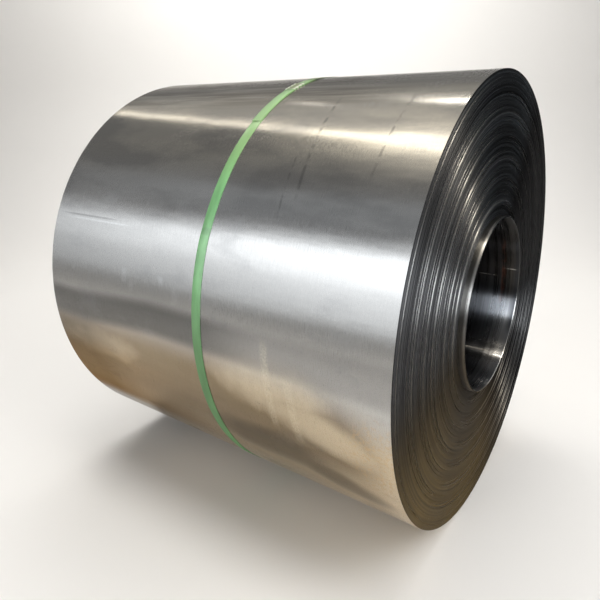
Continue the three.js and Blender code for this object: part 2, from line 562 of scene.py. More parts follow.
def group(name, inputs, outputs):
    """A shader node group with named sockets; returns it, its inputs by name and its output
    sockets."""
    tree = bpy.data.node_groups.new(name, "ShaderNodeTree")
    for label, default in inputs.items():
        socket = tree.interface.new_socket(
            name=label, in_out="INPUT", socket_type="NodeSocketFloat")
        socket.default_value = default
    for label in outputs:
        tree.interface.new_socket(name=label, in_out="OUTPUT", socket_type="NodeSocketFloat")
    given = tree.nodes.new("NodeGroupInput").outputs
    return (tree, {label: Value(given[label]) for label in inputs},
            tree.nodes.new("NodeGroupOutput").inputs)


def use(tree, name, **values):
    """Places a shared node group, which is built the first time, with its own values; returns
    its outputs by name."""
    placed = tree.nodes.new("ShaderNodeGroup")
    placed.node_tree = bpy.data.node_groups.get(name) or NODE_GROUPS[name]()
    feed(placed.inputs, spaced(values))
    return {socket.name: Value(socket) for socket in placed.outputs}


def round_axis_group():
    """Place along the coil's axis, angle round it (radians, 0 at +Y, a quarter turn at the top,
    from minus a quarter turn to three quarters) and distance from it."""
    tree, _, out = group("Round the Axis", {}, ("Along", "Angle", "Radius"))
    along, across, height = parts(object_place(tree))
    up = height - AXIS_HEIGHT
    angle = maths("ARCTAN2", up, across)
    angle = maths("LESS_THAN", angle, -np.pi / 2) * FULL_TURN + angle
    radius = maths("SQRT", up * up + across * across)
    feed(out, {"Along": along, "Angle": angle, "Radius": radius})
    return tree


def rolled_grain_group():
    """Fine lines that run round the coil: noise squeezed along the axis, in two sizes."""
    tree, given, out = group(
        "Rolled Grain", {"Lines per Metre": 500.0, "Length": 6.0}, ("Fine", "Broad"))
    for label, factor, detail in (("Fine", 1.0, 3.0), ("Broad", 0.12, 2.0)):
        point = squeezed(given["Lines per Metre"] * factor, given["Length"])
        feed(out, {label: spread(noise(point, detail), 0.3, 0.7)})
    return tree


def smudge_group():
    """Soft cloudy patches, longer along the axis than round it."""
    tree, given, out = group(
        "Smudges", {"Size": 1.0, "Stretch": 0.4, "Offset": 0.0}, ("Cloud", "Patch"))
    point = squeezed(given["Size"] * given["Stretch"], given["Size"])
    cloud = noise(point, 4.0, W=given["Offset"], Roughness=0.55)
    feed(out, {"Cloud": spread(cloud, 0.3, 0.7), "Patch": eased(cloud, 0.52, 0.68)})
    return tree


SPOT_INPUTS = {"Along": 0.0, "Half Width": 0.1, "Angle": 0.0, "Half Angle": 0.1, "Lean": 0.0}


def ring_mark_group():
    """A broken mark inside a range of places along the axis and of angles. It can lean along
    the axis as it goes round."""
    tree, given, out = group("Ring Mark", {**SPOT_INPUTS, "Breaks": 60.0}, ("Mark",))
    along, angle, _ = around_axis(tree)
    turn = angle - given["Angle"]
    off = along - given["Along"] - turn * given["Lean"]
    across = maths("ABSOLUTE", off) / given["Half Width"]
    length = maths("ABSOLUTE", turn) / given["Half Angle"]
    broken = spread(noise(object_place(tree), 3.0, Scale=given["Breaks"]), 0.42, 0.58)
    feed(out, {"Mark": eased(across, 1.0, 0.3) * eased(length, 1.0, 0.7) * broken})
    return tree


def soft_patch_group():
    """A soft oval with uneven edges: 1 in its middle, about 0 at its half width and half angle,
    where noise pulls its edge in and out. It can lean along the axis as it goes round."""
    tree, given, out = group("Soft Patch", {**SPOT_INPUTS, "Uneven": 1.0}, ("Mark",))
    along, angle, _ = around_axis(tree)
    turn = angle - given["Angle"]
    across = (along - (turn * given["Lean"] + given["Along"])) / given["Half Width"]
    round_it = turn / given["Half Angle"]
    uneven = (noise(object_place(tree), 3.0, Scale=7.0) - 0.5) * given["Uneven"]
    away = uneven * 2.0 + (across * across + round_it * round_it)
    feed(out, {"Mark": eased(away, 1.0, 0.0)})
    return tree


def turn_lines_group():
    """Fine rings at the ends, one for every turn or so: noise that depends on the radius, and
    drifts slowly round the axis."""
    tree, given, out = group(
        "Turn Lines", {"Lines per Metre": 400.0, "Drift": 1.5}, ("Fine", "Broad"))
    _, _, radius = around_axis(tree)
    _, across, height = parts(object_place(tree))
    for label, factor in (("Fine", 1.0), ("Broad", 0.22)):
        point = node(tree, "ShaderNodeCombineXYZ", {
            0: radius * given["Lines per Metre"] * factor,
            1: across * given["Drift"], 2: height * given["Drift"]})
        feed(out, {label: spread(noise(point, 2.0), 0.32, 0.68)})
    return tree


NODE_GROUPS = {
    "Round the Axis": round_axis_group,
    "Rolled Grain": rolled_grain_group,
    "Smudges": smudge_group,
    "Ring Mark": ring_mark_group,
    "Soft Patch": soft_patch_group,
    "Turn Lines": turn_lines_group,
}


def around_axis(tree):
    """Place along the axis, angle round it and distance from it."""
    return use(tree, "Round the Axis").values()


def grain_lines(tree, lines_per_metre, length):
    """The fine and the broad lines of a Rolled Grain."""
    return use(tree, "Rolled Grain", Lines_per_Metre=lines_per_metre, Length=length).values()


def smudges(tree, size, stretch, offset=0.0, kind="Cloud"):
    """The cloud or the patches of Smudges."""
    return use(tree, "Smudges", Size=size, Stretch=stretch, Offset=offset)[kind]


def spot(tree, group_name, along, half_width, degrees, half_degrees, **values):
    """One Ring Mark or Soft Patch, with its angles in degrees."""
    return use(tree, group_name, Along=along, Half_Width=half_width, Angle=np.radians(degrees),
               Half_Angle=np.radians(half_degrees), **values)["Mark"]


def material(name, **settings):
    """A material with one Principled shader; returns it, its tree and the shader's inputs."""
    made = bpy.data.materials.new(name)
    made.use_nodes = True
    shader = made.node_tree.nodes["Principled BSDF"].inputs
    feed(shader, spaced(settings))
    return made, made.node_tree, shader


def brushed(tree, shader, amount):
    """Widens reflections across the rolling lines, along the surface's U."""
    tangent = node(tree, "ShaderNodeTangent", direction_type="UV_MAP", uv_map="Surface")
    feed(shader, {"Anisotropic": amount, "Tangent": tangent})


def bump(shader, height, strength, distance):
    """Feeds a height to the shader's normal."""
    feed(shader, {"Normal": node(height.tree, "ShaderNodeBump", {
        "Height": height, "Strength": strength, "Distance": distance})})


def scaled(colour, factor):
    """A lighter or darker colour."""
    return tuple(part * factor for part in colour)


# ------------------------------------------------------------------ finishes


YELLOW_FILM = (0.91, 0.85, 0.76)
PAINTED_DARK_REFLECTION, PAINTED_HORIZON_DARK, HANDLED = (0.26, 0.255, 0.25), (0.10, 0.098, 0.092), (0.27, 0.27, 0.275)
DRY_BROWN, PAINTED_CROWN_DARK = (0.215, 0.180, 0.135), (0.05, 0.045, 0.04)
SCRATCH, PALE_DAB = (0.10, 0.10, 0.10), (0.85, 0.86, 0.86)
DRIED_OIL, RUST_SPECK = (0.92, 0.84, 0.66), (0.60, 0.41, 0.21)


def painted_floor_reflection(tree, finish, along, angle):
    """Painted reflection of the floor low on the barrel: tan, with painted reflected light in three
    pale pools and at the near end, painted reflected shadow in two dark pools and towards the far
    end, and painted lighter on the bottom as a reflection of the lit floor below."""
    pool = partial(spot, tree, "Soft Patch")
    film = smudges(tree, 4.5, 0.35, 3.0)
    # painted reflected shadow: dark pools where the floor near the coil is in shade
    reflected_shadow = most(pool(0.24, 0.25, 207.5, 7.0, Uneven=0.5),
                 pool(0.40, 0.14, 211.0, 8.0, Lean=0.9, Uneven=0.5))
    # painted reflected light: pale pools of the lit floor, and the near end
    thin = most(pool(0.26, 0.22, 188.5, 9.0, Uneven=0.6),
                pool(0.395, 0.20, 195.5, 12.0, Lean=1.4, Uneven=0.4) * 0.85,
                pool(-0.40, 0.22, 193.0, 6.0) * 0.5,
                spread(along, 0.46, 0.60, 0.0, 0.9, "SMOOTHSTEP"))
    light = maths("ADD", film * 0.3, thin * (1.0 - reflected_shadow * 0.8) * 0.95, clamp=True)
    # painted reflection of the lit floor under the bottom, then a painted darker reflection towards
    # the far end
    reflected_lit_floor = facing(angle, 236.0, 22.0, 34.0) * spread(along, -0.52, 0.55, 0.2, 0.8)
    far = spread(along, -0.28, -0.47, 0.0, 0.8) * spread(film, 0.9, 0.4, 0.65, 1.0)
    return layered(finish.floor_reflection_tan, (light, finish.floor_reflection_lit), (reflected_lit_floor, finish.floor_reflection_below),
                   (most(far, reflected_shadow * 0.7), finish.floor_reflection_shadow))


def marked_steel(tree, colour):
    """Scratches, pale dabs and dried runs of oil on the barrel, over its colour. The last
    scratch and the last dab are the two sides of one long scrape along the axis."""
    mark, pool = partial(spot, tree, "Ring Mark"), partial(spot, tree, "Soft Patch")
    scratches = most(mark(0.457, 0.005, 130.0, 14.0, Breaks=44.0),
                     mark(0.27, 0.006, 133.0, 17.0, Breaks=44.0, Lean=0.06),
                     mark(0.245, 0.004, 145.0, 9.0, Breaks=50.0, Lean=0.04),
                     pool(-0.44, 0.17, 158.3, 0.4, Uneven=0.4))
    dabs = most(*(mark(*dab, Breaks=14.0) for dab in (
        (-0.245, 0.016, 171.6, 2.2), (-0.215, 0.014, 175.0, 2.6),
        (-0.095, 0.016, 172.6, 3.2), (-0.035, 0.018, 173.6, 2.6))),
        pool(-0.40, 0.18, 159.2, 0.35, Uneven=0.4))
    runs = most(mark(0.268, 0.016, 189.0, 12.0, Breaks=420.0, Lean=0.03),
                mark(0.335, 0.018, 194.0, 9.0, Breaks=420.0, Lean=0.05))
    return layered(
        colour, (scratches * 0.40, SCRATCH), (dabs * 0.22, PALE_DAB), (runs * 0.27, DRIED_OIL))


def barrel_material(finish):
    """Rolled steel with a painted reflection of the tan floor low down, with its lit pools and its
    shadow, a yellow coat towards the far end, painted dark reflections at 140 degrees, at mid
    height on the front and along the crown, dry brown streaks high up, smudges from handling,
    scratches, pale dabs and fine rust specks."""
    made, tree, shader = material(
        "Rolled Steel", Metallic=1.0, Coat_IOR=1.0, Coat_Roughness=0.3, Coat_Tint=YELLOW_FILM)
    grain, _ = grain_lines(tree, 560.0, 16.0)
    micro, _ = grain_lines(tree, 2600.0, 60.0)
    cloud = smudges(tree, 3.4, 0.45)
    fleck = smudges(tree, 110.0, 1.0, 5.0)
    smear = smudges(tree, 11.0, 0.5, 2.0, "Patch")
    streak = smudges(tree, 42.0, 0.06, 8.0)
    haze = smudges(tree, 10.0, 0.3, 9.0)
    along, angle, _ = around_axis(tree)
    pool = partial(spot, tree, "Soft Patch")

    # Warmer high up, painted floor reflection low down, painted dark reflection bands, brown on top
    warm = facing(angle, 112.0, 24.0, 36.0)
    # the lower barrel gets the painted reflection of the floor
    low = facing(angle - spread(along, 0.36, 0.58, 0.0, 0.12), 248.0, 56.0, 69.0)
    # painted reflection: a patchy dark band at 140 degrees, where the steel mirrors a dark gap
    painted_dark_band = facing(angle, 140.0, 10.0, 24.0) * spread(haze, 0.3, 0.7, 0.0, 0.55)
    # painted reflection: a dark band at mid height on the front, where the steel mirrors the dark
    # far floor
    painted_horizon_band = facing(angle - spread(along, -0.15, -0.45, 0.0, 0.035), 181.0, 2.0, 5.5)
    top = facing(angle, 90.0, 24.0, 34.0) * spread(along, 0.45, 0.20, 0.25, 1.0)
    brown = most(top * spread(streak, 0.25, 0.75, 0.05, 0.95),
                 pool(0.17, 0.17, 104.5, 4.5) * 0.75,
                 pool(-0.36, 0.42, 105.5, 3.0, Uneven=0.5) * 0.9)
    dull = cloud * 0.16 + grain * 0.10 + fleck * 0.07 + smear * 0.22
    specks = pool(0.55, 0.10, 200.0, 14.0) * spread(fleck, 0.45, 0.8)
    colour = layered(
        finish.steel, (warm, finish.steel_dry), (low, painted_floor_reflection(tree, finish, along, angle)),
        (painted_dark_band, PAINTED_DARK_REFLECTION), (painted_horizon_band * spread(along, 0.25, 0.05, 0.40, 0.85), PAINTED_HORIZON_DARK),
        # the crown layer on the next line is painted shade: a dark band along the top edge
        (brown, DRY_BROWN), (facing(angle, 83.0, 11.0, 14.5) * 0.8, PAINTED_CROWN_DARK),
        (dull * (1.0 - low * 0.6), HANDLED))
    colour = layered(marked_steel(tree, colour), (specks * 0.45, RUST_SPECK))

    polished = facing(angle, 121.0, 9.0, 16.0)
    rough = micro * 0.14 + 0.145 + cloud * 0.05 + grain * 0.02 + smear * 0.06 - polished * 0.08
    yellowed = facing(angle, 206.0, 6.0, 15.0) * spread(along, 0.05, -0.45, 0.1, 1.0)
    feed(shader, {"Base Color": colour, "Roughness": rough, "Coat Weight": yellowed})
    bump(shader, grain * 0.015 + smudges(tree, 7.0, 0.25, 7.0), 0.6, 0.0006)
    brushed(tree, shader, 0.7)
    return made


PAINTED_TOP_LIFT, RUBBED_RING_AND_HIGHLIGHT = (0.20, 0.22, 0.235), (0.50, 0.50, 0.50)
PAINTED_INNER_SHADE, BETWEEN_TURNS = (0.02, 0.02, 0.02), (0.010, 0.010, 0.011)
PALE_DUST, DARK_DUST = (0.165, 0.112, 0.040), (0.050, 0.034, 0.013)
RUBBED_RINGS = ((0.302, 0.006), (0.420, 0.005), (0.541, 0.005))  # radius and half width


def end_material(finish):
    """The strip's cut edges, one fine ring for every turn, dull and dark, brown with dust low down,
    painted lighter on the upper left side where the light falls, with a grey painted lift at the
    top, three rubbed rings with a painted highlight on that side, and painted shade low on the
    right near the bore."""
    made, tree, shader = material(
        "Cut Strip Edges", Specular_Tint=(0.12, 0.12, 0.13), Specular_IOR_Level=0.1)
    fine, broad = use(tree, "Turn Lines", Lines_per_Metre=170.0, Drift=0.3).values()
    bands, _ = use(tree, "Turn Lines", Lines_per_Metre=80.0, Drift=0.2).values()
    cloud = smudges(tree, 3.0, 1.0, 1.0)
    _, angle, radius = around_axis(tree)

    dust = facing(angle, 244.0, 10.0, 64.0) * (cloud * 0.3 + 0.7)
    dust = dust * spread(radius, 0.25, 0.55, 0.45, 1.0)
    # painted light: the upper left side, where the light falls, gets the full cut-edge colour,
    # lighter than the rest
    side = facing(angle, 130.0, 15.0, 72.0)
    # painted light: a grey lift at the top of the end
    upper = facing(angle, 94.0, 12.0, 36.0)
    # rubbed rings, painted lighter only on the lit upper left side: partly painted highlight
    rubbed = most(*(eased(maths("ABSOLUTE", radius - middle), half_width, half_width * 0.5)
                    for middle, half_width in RUBBED_RINGS))
    # painted shade: low on the right near the bore
    inner = facing(angle, 303.0, 16.0, 28.0) * spread(radius, 0.47, 0.35, 0.0, 0.6)
    dark = bands * 0.35 + fine * 0.65
    colour = layered(
        scaled(finish.cut_edge, 0.36), (side, finish.cut_edge), (upper * 0.75, PAINTED_TOP_LIFT),
        (rubbed * (side * 0.4), RUBBED_RING_AND_HIGHLIGHT), (inner, PAINTED_INNER_SHADE), (dark * 0.92, BETWEEN_TURNS),
        (dust, blend(dark, PALE_DUST, DARK_DUST)))
    feed(shader, {"Base Color": colour, "Metallic": 0.95 - dust * 0.9,
                  "Roughness": dust * 0.3 + (0.60 - broad * 0.1)})
    bump(shader, broad, 0.5, 0.0009)
    brushed(tree, shader, 0.93)
    return made


DULL_TURN, PAINTED_TURN_HIGHLIGHT = (0.26, 0.26, 0.27), (0.92, 0.90, 0.86)
DUSTY_TURN, SHADED_TURN = (0.12, 0.085, 0.042), (0.03, 0.03, 0.03)
PAINTED_RIM_HIGHLIGHT, PAINTED_LIP_FOOT_SHADE = (0.78, 0.77, 0.75), (0.04, 0.036, 0.03)


def turn_material(finish):
    """The rolled face of the strip where one band of turns stands proud of the next: a painted
    highlight at the upper left side and on the bore's rim low on the right, brown with dust low
    down, painted shade at the upper right and in the foot of the lip next to the bore."""
    made, tree, shader = material("Turn Faces")
    fine, broad = grain_lines(tree, 260.0, 9.0)
    along, angle, radius = around_axis(tree)
    # painted highlight at the upper left side
    bright = facing(angle, 132.0, 18.0, 45.0)
    low = facing(angle, 243.0, 40.0, 80.0)
    # painted shade at the upper right
    shaded = facing(angle, 35.0, 45.0, 75.0)
    # painted highlight: a bright line on the bore's rim, low on the right
    rim = spread(radius, 0.2572, 0.2568) * facing(angle, 310.0, 20.0, 48.0)
    # painted shade in the foot of the lip, where it meets the end
    foot = spread(radius, 0.263, 0.261) * eased(along, 0.6065, 0.6005)
    colour = layered(
        finish.steel, (broad * 0.35, DULL_TURN), (bright * 0.8, PAINTED_TURN_HIGHLIGHT),
        (low * 0.85, DUSTY_TURN), (shaded * 0.85, SHADED_TURN), (rim, PAINTED_RIM_HIGHLIGHT),
        (foot * 0.8, PAINTED_LIP_FOOT_SHADE))
    feed(shader, {"Base Color": colour, "Metallic": 1.0 - low * 0.7,
                  "Roughness": fine * 0.12 + 0.26})
    bump(shader, fine, 0.2, 0.0002)
    brushed(tree, shader, 0.85)
    return made


BORE_GRIME_AND_SHADE, UPPER_GRIME_AND_SHADE = (0.070, 0.076, 0.086), (0.045, 0.038, 0.034)
PAINTED_BAND_HIGHLIGHT, PAINTED_BAND_HIGHLIGHT_LINES = (0.70, 0.73, 0.78), (0.22, 0.23, 0.25)
PAINTED_BORE_LIGHT, PAINTED_BORE_LIGHT_LINES = (0.40, 0.38, 0.36), (0.72, 0.70, 0.68)
PAINTED_BORE_SHADE, PAINTED_BORE_SHADE_LINES = (0.018, 0.016, 0.014), (0.095, 0.088, 0.080)
PAINTED_DEPTH_SHADE, PAINTED_LIP_SHADE = (0.016, 0.016, 0.018), (0.05, 0.052, 0.056)
PAINTED_LINE_HIGHLIGHT, RUST_RING = (1.0, 0.96, 0.90), (0.20, 0.075, 0.045)


def bore_material(finish):
    """The bore: dark steel with rings from the mandrel, grimy and darker with painted shade deeper
    in and at the upper right, a band of painted highlight, painted light low on the right near the
    opening, painted shade at the upper right near the opening and at the lip, a rust ring, and
    painted highlights as bright lines along the axis, the longest at the strip's start."""
    made, tree, shader = material("Bore Steel", Metallic=1.0)
    fine, broad = grain_lines(tree, 900.0, 2.0)
    cloud = smudges(tree, 7.0, 0.8, 2.0)
    along, angle, _ = around_axis(tree)
    line = partial(spot, tree, "Ring Mark")

    # painted highlight: a pale band at about 340 degrees
    band = facing(angle + spread(along, 0.60, 0.50, 0.0, 0.07), 341.5, 6.5, 11.5)
    band = band * spread(along, 0.565, 0.60, 0.6, 0.1)
    # grimy noise together with painted shade at the upper right of the bore
    shade = facing(angle, 20.0, 24.0, 40.0) * spread(broad, 0.2, 0.9, 1.0, 0.8)
    grime_and_shade = most(cloud * 0.35 + broad * 0.5, shade) * (1.0 - band * 0.8)
    upper = facing(angle, 60.0, 50.0, 75.0)
    # painted light: lighter low on the right near the opening
    rubbed = facing(angle, 311.0, 18.0, 32.0) * spread(along, 0.535, 0.585, 0.0, 0.42)
    rubbed = rubbed * spread(along, 0.588, 0.603, 1.0, 0.45)
    # painted shade: darker at the upper right near the opening
    painted_shade_near_opening = facing(angle, 42.0, 44.0, 66.0) * spread(along, 0.555, 0.58, 0.0, 0.85)
    # painted shade at the lip, on the right and low on the right
    lip = most(facing(angle, 2.0, 30.0, 42.0), facing(angle, 308.0, 3.0, 6.0) * 0.8)
    # painted highlights: bright lines along the axis, the longest at the strip's start
    lines = most(line(0.535, 0.10, -55.0, 0.65, Breaks=9.0),
                 line(0.525, 0.055, 4.5, 0.4) * 0.32, line(0.578, 0.03, 11.0, 0.5) * 0.56)
    rust = line(0.562, 0.009, 12.0, 30.0, Breaks=40.0)
    colour = layered(
        finish.bore, (grime_and_shade, blend(upper, BORE_GRIME_AND_SHADE, UPPER_GRIME_AND_SHADE)),
        (band, blend(broad, PAINTED_BAND_HIGHLIGHT, PAINTED_BAND_HIGHLIGHT_LINES)),
        (rubbed, blend(fine, PAINTED_BORE_LIGHT, PAINTED_BORE_LIGHT_LINES)),
        (painted_shade_near_opening, blend(fine, PAINTED_BORE_SHADE, PAINTED_BORE_SHADE_LINES)),
        # the next layer is painted shade, darker deeper in the bore
        (spread(along, 0.575, 0.50, 0.0, 0.72), PAINTED_DEPTH_SHADE),
        (lip * spread(along, 0.590, 0.604, 0.0, 0.85), PAINTED_LIP_SHADE),
        (lines * 0.88, PAINTED_LINE_HIGHLIGHT), (rust * 0.5, RUST_RING))
    rough = broad * 0.12 + 0.22 - facing(angle, 305.0, 4.0, 10.0) * 0.08
    feed(shader, {"Base Color": colour, "Roughness": rough})
    bump(shader, broad, 0.2, 0.0003)
    brushed(tree, shader, 0.95)
    return made


PAINTED_LIT_STRAP, DUSTY_STRAP = (0.33, 0.54, 0.20), (0.09, 0.11, 0.06)
DIRT_AND_SHADE_STRAP = (0.05, 0.105, 0.028)
DIAMONDS_ALONG, DIAMONDS_ACROSS = 5200.0, 110.0  # radians over the strap's length and section


def strap_material(sizes):
    """Green plastic with embossed diamonds, the product of two crossed sines: painted light,
    lighter and yellower near the top, dusty on the crown, dirty, matt and painted darker in shade
    low down, and painted shade in its kink."""
    made, tree, shader = material("Green Strap", Metallic=0.0, IOR=1.55, Coat_Roughness=0.14)
    u, v = surface_place(tree)
    cloud = smudges(tree, 9.0, 4.0, 5.0)
    _, angle, _ = around_axis(tree)
    pale = tuple(min(1.0, part * 1.25 + 0.04) for part in sizes.colour)
    # painted light: lighter and yellower near the top
    lit_top = facing(angle, 112.0, 18.0, 38.0)
    dusty = facing(angle, 92.0, 9.0, 15.0)
    # dirty and matt low down, and painted shade there
    dirt_and_shade = facing(angle, 248.0, 64.0, 80.0) * 0.65
    matt = most(dirt_and_shade, dusty)
    # painted shade: darker in the kink's crease
    kink = use(tree, "Soft Patch", Along=STRAP_MIDDLE, Half_Width=0.03, Angle=sizes.kink_angle,
               Half_Angle=0.02, Uneven=0.0)["Mark"]
    colour = layered(
        scaled(sizes.colour, 0.8), (cloud, pale), (lit_top * 0.7, PAINTED_LIT_STRAP),
        (dusty * 0.9, DUSTY_STRAP), (dirt_and_shade, DIRT_AND_SHADE_STRAP), (kink * 0.35, scaled(sizes.colour, 0.4)))
    feed(shader, {"Base Color": colour, "Roughness": matt * 0.5 + (cloud * 0.1 + 0.28),
                  "Coat Weight": maths("SUBTRACT", 1.0, matt * 1.6, clamp=True)})
    crossed = [maths("SINE", v * (side * DIAMONDS_ACROSS) + u * DIAMONDS_ALONG)
               for side in (1, -1)]
    bump(shader, maths("MULTIPLY", *crossed), 0.35, 0.0003)
    return made


SEAL_DULL, PAINTED_CRIMP_SHADE = (0.27, 0.31, 0.19), (0.10, 0.12, 0.08)


def seal_material(sizes):
    """Bright seal steel: rubbed pale along its folded edges, dull and scuffed over the roof, with
    painted shade in each crimp."""
    made, tree, shader = material("Seal Steel")
    cloud = smudges(tree, 60.0, 1.0, 4.0)
    scuff = smudges(tree, 220.0, 0.2, 6.0, "Patch")
    u, v = surface_place(tree)
    roof = eased(maths("ABSOLUTE", v - 0.235), 0.085, 0.06)
    # painted shade in each crimp
    pinch = eased(maths("COSINE", u * (FULL_TURN * sizes.crimps) + np.pi), 0.55, 0.95)
    dull = maths("SUBTRACT", roof * 0.95, scuff * 0.35, clamp=True)
    colour = layered(sizes.colour, (dull, SEAL_DULL), (pinch * 0.7, PAINTED_CRIMP_SHADE))
    feed(shader, {"Base Color": colour, "Metallic": dull * 0.5 + 0.3,
                  "Roughness": dull * 0.3 + (cloud * 0.15 + 0.28)})
    bump(shader, cloud, 0.4, 0.0003)
    return made


def stage_material(colour):
    """A matt pale floor, very slightly uneven."""
    made, tree, shader = material(
        "Studio Floor", Metallic=0.0, Roughness=0.9, Specular_IOR_Level=0.2)
    cloud = smudges(tree, 1.5, 1.0, 9.0)
    feed(shader, {"Base Color": blend(cloud, colour, scaled(colour, 0.985))})
    return made


# ------------------------------------------------------------------ stage


NEUTRAL, WARM, DAYLIGHT = (1.0, 0.99, 0.97), (1.0, 0.93, 0.80), (0.90, 0.95, 1.0)
DOWN, SIDEWAYS = (0, 0, 0), (90, 0, 0)
CAMERA_PLACE, CAMERA_TURN = (1.0120, -1.5735, 1.1677), (74.85, 0.0, 35.96)
CAMERA_LENS, SENSOR_WIDTH = 32.78, 36.0
CAMERA_SHIFT = (10 / 600, -31 / 600)
FLOOR_REACH, BEND_START, BEND_RADIUS = 12.0, 2.6, 1.6
WALL_HEIGHTS = (2.0, 2.45)


def lamp(name, place, turn, size, power, colour, glossy=True, diffuse=True, beam=180.0, fade=None):
    """One softbox. turn is its rotation in degrees; unturned, it faces straight down. Without
    glossy it isn't seen in reflections, and without diffuse only there."""
    data = bpy.data.lights.new(name, "AREA")
    data.shape = "RECTANGLE"
    data.size, data.size_y = size
    data.energy, data.color, data.spread = power, colour, np.radians(beam)
    made = add_object(name, data)
    made.location, made.rotation_euler = place, np.radians(turn)
    made.visible_camera = False
    made.visible_glossy, made.visible_diffuse = glossy, diffuse
    if fade:
        fade_lamp(data, *fade)


def fade_lamp(data, across, along=((0.0, 1.0), (1.0, 1.0))):
    """Gives a softbox a brightness that changes over it: two lists of (place from 0 to 1,
    strength), one for each of its sides."""
    data.use_nodes = True
    tree = data.node_tree
    strengths = []
    sides = parts(node(tree, "ShaderNodeNewGeometry", output="Parametric"))
    for side, stops in zip(sides, (across, along)):
        strengths.append(node(tree, "ShaderNodeValToRGB", {0: side}))
        ramp = strengths[-1].socket.node.color_ramp
        ramp.interpolation = "EASE"
        while len(ramp.elements) < len(stops):
            ramp.elements.new(1.0)
        for element, (where, value) in zip(ramp.elements, stops):
            element.position, element.color = where, (value, value, value, 1.0)
    feed(tree.nodes["Emission"].inputs, {"Strength": maths("MULTIPLY", *strengths)})


def softboxes(stage):
    """The lamps. Five only light the surfaces, six are only seen as reflections in the steel,
    and three do both."""
    lit = partial(lamp, glossy=False)
    mirrored = partial(lamp, diffuse=False)
    lit("fill_light", (3.1, 0.0, 3.2), (0, 47, 0), (2.6, 2.6), stage.fill, NEUTRAL)
    lit("top_light", (-0.2, -1.0, 4.6), DOWN, (5.0, 1.6), stage.top, NEUTRAL, beam=56.0)
    lit("back_light", (-0.6, 2.2, 4.6), DOWN, (6.0, 2.5), stage.back, NEUTRAL, beam=130.0)
    lit("backdrop_light", (-1.6, 2.0, 3.8), (20, 0, 36), (4.0, 1.2), stage.backdrop, NEUTRAL)
    lit("low_light", (-0.2, -3.3, 1.1), (76, 0, 0), (2.4, 0.8), stage.low, (0.95, 0.98, 1.0),
        beam=70.0)

    # A tall window and the open side for the broad sheen, and a faint sky above them
    mirrored("window_light", (-3.6, -5.0, 2.35), SIDEWAYS, (10.0, 4.4), stage.window, DAYLIGHT,
             fade=([(0.0, 0.4), (0.16, 0.50), (0.4, 0.64), (0.58, 0.95), (0.74, 1.0),
                    (0.92, 0.75), (1.0, 0.0)],
                   [(0.0, 0.22), (0.14, 0.34), (0.32, 0.42), (0.51, 0.74), (0.72, 1.0),
                    (0.79, 0.40), (0.88, 0.22), (1.0, 0.0)]))
    mirrored("side_light", (3.0, -5.0, 2.4), SIDEWAYS, (3.0, 2.7), stage.side, DAYLIGHT)
    mirrored("sky_light", (-2.5, -4.4, 5.6), (50, 0, 0), (9.0, 1.8), stage.sky, (0.80, 0.90, 1.0))

    # Roof panels for the upper barrel, and narrow ones for its bright streaks
    lamp("roof_light", (-2.9, 2.9, 5.02), (0, 0, -18), (7.0, 5.0), stage.roof, (1.0, 0.95, 0.86),
         fade=([(0.0, 0.0), (0.1, 0.56), (0.45, 0.59), (0.62, 0.9), (0.70, 1.0), (0.9, 1.0),
                (1.0, 0.0)],
               [(0.0, 1.0), (0.25, 0.75), (0.45, 0.52), (0.60, 0.30), (1.0, 0.0)]))
    lamp("strip_light", (-2.5, 0.11, 5.0), (0, 0, -19.5), (8.4, 0.30), stage.strip, WARM,
         fade=([(0.0, 0.62), (0.24, 0.62), (0.35, 0.52), (0.45, 0.74), (0.65, 1.0), (1.0, 1.0)],))
    lamp("skylight_strip", (-1.2, 1.98, 4.99), DOWN, (3.8, 0.16), stage.strip, (1.0, 0.96, 0.90),
         fade=([(0.0, 0.0), (0.08, 0.3), (0.16, 0.0), (0.40, 0.0), (0.55, 0.9), (1.0, 0.9)],))
    mirrored("near_light", (-0.35, -0.55, 5.0), (0, 0, -12), (2.6, 3.4), stage.glow, WARM,
             fade=([(0.0, 0.0), (0.15, 1.0), (1.0, 1.0)],
                   [(0.0, 0.0), (0.10, 0.08), (0.19, 0.13), (0.30, 0.20), (0.37, 0.38),
                    (0.43, 1.0), (0.58, 0.9), (0.64, 0.28), (0.72, 0.10), (0.86, 0.03),
                    (1.0, 0.0)]))

    # Slits over the near end for the line low in the bore
    mirrored("bore_strip", (2.4, 0.0, 5.0), DOWN, (3.0, 0.14), stage.slit, WARM)
    mirrored("near_bore_strip", (1.25, 0.05, 5.0), DOWN, (1.0, 0.06), stage.slit * 0.3, WARM)


def backdrop_points():
    """A flat floor, then a quarter-round rise, then an upright wall: the profile's path, carried
    straight across, behind the coil as the camera sees it."""
    bend = np.linspace(0, np.pi / 2, 14)
    wall = BEND_START + BEND_RADIUS
    along = np.concatenate((np.linspace(-FLOOR_REACH, BEND_START, 12),
                            BEND_START + BEND_RADIUS * np.sin(bend[1:]), [wall, wall]))
    up = np.concatenate((np.zeros(12), BEND_RADIUS * (1 - np.cos(bend[1:])), WALL_HEIGHTS))
    heading = np.radians(CAMERA_TURN[2])
    p, q = np.meshgrid(along, np.linspace(-FLOOR_REACH, FLOOR_REACH, 13), indexing="ij")
    x = q * np.cos(heading) - p * np.sin(heading)
    y = q * np.sin(heading) + p * np.cos(heading)
    return np.stack((x, y, np.broadcast_to(up[:, None], p.shape)), -1)


